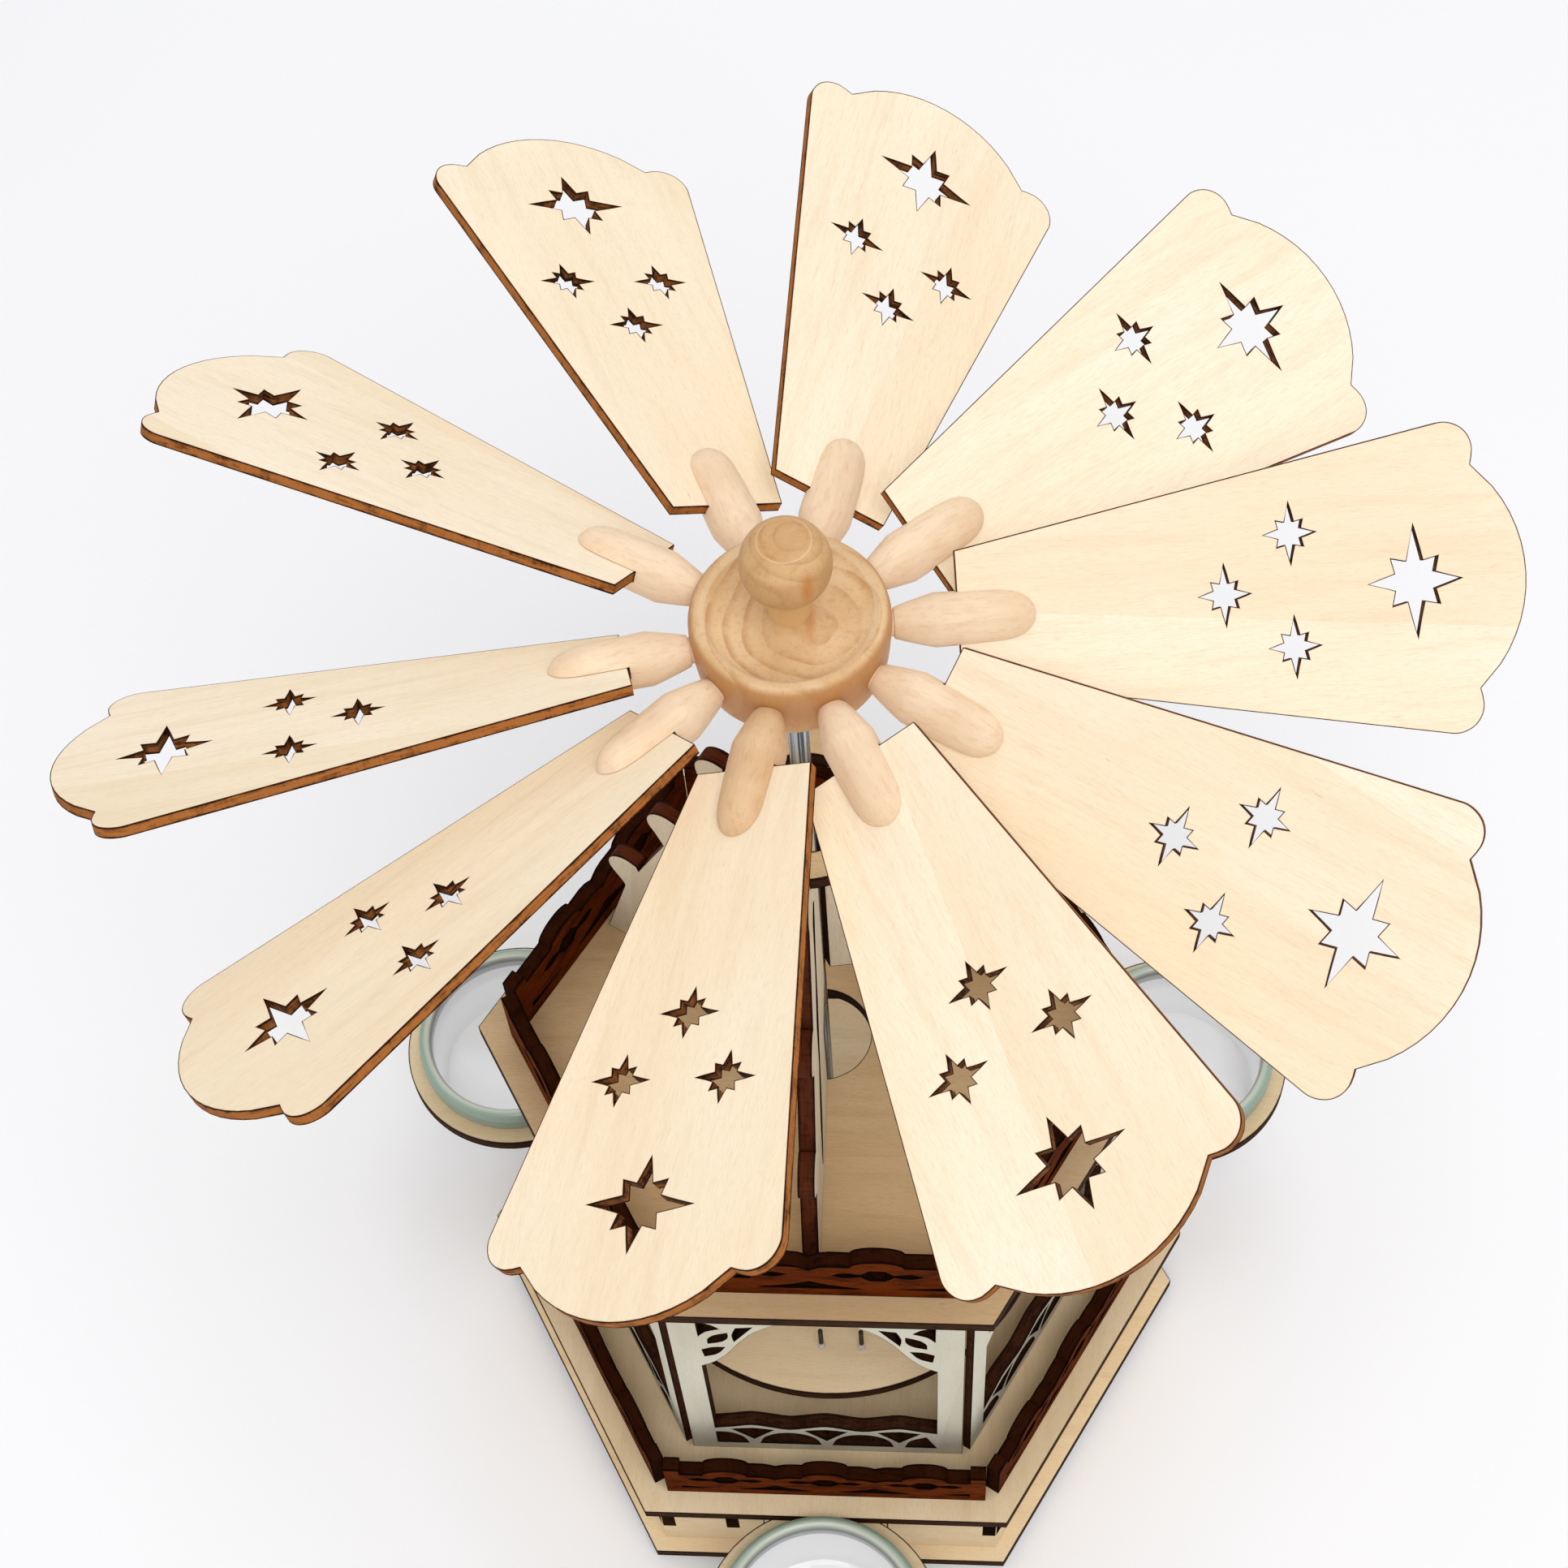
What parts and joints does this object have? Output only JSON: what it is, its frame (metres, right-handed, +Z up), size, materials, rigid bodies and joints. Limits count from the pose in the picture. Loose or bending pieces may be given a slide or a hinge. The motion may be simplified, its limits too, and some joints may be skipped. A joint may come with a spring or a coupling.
{
  "type": "christmas pyramid",
  "caption": "Hexagonal wooden candle carousel: pierced panels, fences and ribs carry a shaft with star-pierced paddles above glass candle cups.",
  "frame": {"origin": "centre of the underside of the base plate, on the axis of the shaft", "axes": "+Z up along the shaft; the front side with a candle cup looks along -Y"},
  "size_m": [0.2158, 0.2203, 0.2852],
  "materials": {
    "pale_wood": "raw pale plywood with burnt cut edges",
    "blade_wood": "raw pale plywood with burnt cut edges",
    "whitewashed_wood": "thin white wash on plywood",
    "stained_wood": "mahogany stain",
    "honey_wood": "turned, smooth",
    "beech": "turned, smooth",
    "steel": "drawn rod",
    "clear_glass": "clear, pressed"
  },
  "bodies": {
    "stand": {"base_plate": "pale_wood", "base_wall": "pale_wood", "candle_plate": "pale_wood", "lower_deck": "pale_wood", "lower_fence_1": "stained_wood", "lower_fence_2": "stained_wood", "lower_fence_3": "stained_wood", "lower_fence_4": "stained_wood", "lower_fence_5": "stained_wood", "lower_fence_6": "stained_wood", "panel_1": "whitewashed_wood", "panel_2": "whitewashed_wood", "panel_3": "whitewashed_wood", "panel_4": "whitewashed_wood", "panel_5": "whitewashed_wood", "panel_6": "whitewashed_wood", "top_deck": "pale_wood", "top_fence_1": "stained_wood", "top_fence_2": "stained_wood", "top_fence_3": "stained_wood", "top_fence_4": "stained_wood", "top_fence_5": "stained_wood", "top_fence_6": "stained_wood", "rib_1": "whitewashed_wood", "rib_2": "whitewashed_wood", "rib_3": "whitewashed_wood", "cap_ring": "pale_wood", "foot_bearing": "steel"},
    "rotor": {"shaft": "steel", "turntable": "pale_wood", "turntable_collar": "honey_wood", "turntable_pin_1": "steel", "turntable_pin_2": "steel", "hub": "honey_wood", "knob": "honey_wood"},
    "paddle_1": {"blade_peg_1": "beech", "blade_1": "blade_wood"},
    "paddle_2": {"blade_peg_2": "beech", "blade_2": "blade_wood"},
    "paddle_3": {"blade_peg_3": "beech", "blade_3": "blade_wood"},
    "paddle_4": {"blade_peg_4": "beech", "blade_4": "blade_wood"},
    "paddle_5": {"blade_peg_5": "beech", "blade_5": "blade_wood"},
    "paddle_6": {"blade_peg_6": "beech", "blade_6": "blade_wood"},
    "paddle_7": {"blade_peg_7": "beech", "blade_7": "blade_wood"},
    "paddle_8": {"blade_peg_8": "beech", "blade_8": "blade_wood"},
    "paddle_9": {"blade_peg_9": "beech", "blade_9": "blade_wood"},
    "paddle_10": {"blade_peg_10": "beech", "blade_10": "blade_wood"},
    "cup_1": {"glass_cup_1": "clear_glass"},
    "cup_2": {"glass_cup_2": "clear_glass"},
    "cup_3": {"glass_cup_3": "clear_glass"}
  },
  "joints": [
    {"name": "rotor_spin", "type": "hinge", "parent": "stand", "child": "rotor", "pos_m": [0, 0, 0.0336], "axis": [0, 0, 1], "continuous": true},
    {"name": "paddle_1_pitch", "type": "hinge", "parent": "rotor", "child": "paddle_1", "pos_m": [0.0134, 0.00161, 0.26181], "axis": [0.9927, 0.1191, -0.0215], "range_deg": [-12, 12]},
    {"name": "paddle_2_pitch", "type": "hinge", "parent": "rotor", "child": "paddle_2", "pos_m": [0.01021, 0.00883, 0.26166], "axis": [0.7559, 0.6539, -0.0326], "range_deg": [-12, 12]},
    {"name": "paddle_3_pitch", "type": "hinge", "parent": "rotor", "child": "paddle_3", "pos_m": [0.00266, 0.01323, 0.26178], "axis": [0.1973, 0.9801, -0.0237], "range_deg": [-12, 12]},
    {"name": "paddle_4_pitch", "type": "hinge", "parent": "rotor", "child": "paddle_4", "pos_m": [-0.00569, 0.01224, 0.26197], "axis": [-0.4212, 0.9069, -0.0098], "range_deg": [-12, 12]},
    {"name": "paddle_5_pitch", "type": "hinge", "parent": "rotor", "child": "paddle_5", "pos_m": [-0.01214, 0.00589, 0.26225], "axis": [-0.8996, 0.4366, 0.0108], "range_deg": [-12, 12]},
    {"name": "paddle_6_pitch", "type": "hinge", "parent": "rotor", "child": "paddle_6", "pos_m": [-0.01306, -0.00341, 0.26221], "axis": [-0.9676, -0.2522, 0.0086], "range_deg": [-12, 12]},
    {"name": "paddle_7_pitch", "type": "hinge", "parent": "rotor", "child": "paddle_7", "pos_m": [-0.00973, -0.00934, 0.2616], "axis": [-0.721, -0.6919, -0.037], "range_deg": [-12, 12]},
    {"name": "paddle_8_pitch", "type": "hinge", "parent": "rotor", "child": "paddle_8", "pos_m": [-0.00229, -0.0133, 0.26208], "axis": [-0.1697, -0.9855, -0.0014], "range_deg": [-12, 12]},
    {"name": "paddle_9_pitch", "type": "hinge", "parent": "rotor", "child": "paddle_9", "pos_m": [0.00587, -0.01215, 0.26187], "axis": [0.435, -0.9003, -0.0168], "range_deg": [-12, 12]},
    {"name": "paddle_10_pitch", "type": "hinge", "parent": "rotor", "child": "paddle_10", "pos_m": [0.01163, -0.00682, 0.2614], "axis": [0.8616, -0.5049, -0.0518], "range_deg": [-12, 12]},
    {"name": "cup_1_lift", "type": "slide", "parent": "stand", "child": "cup_1", "axis": [0, 0, 1], "range_m": [0, 0.06]},
    {"name": "cup_2_lift", "type": "slide", "parent": "stand", "child": "cup_2", "axis": [0, 0, 1], "range_m": [0, 0.06]},
    {"name": "cup_3_lift", "type": "slide", "parent": "stand", "child": "cup_3", "axis": [0, 0, 1], "range_m": [0, 0.06]}
  ]
}
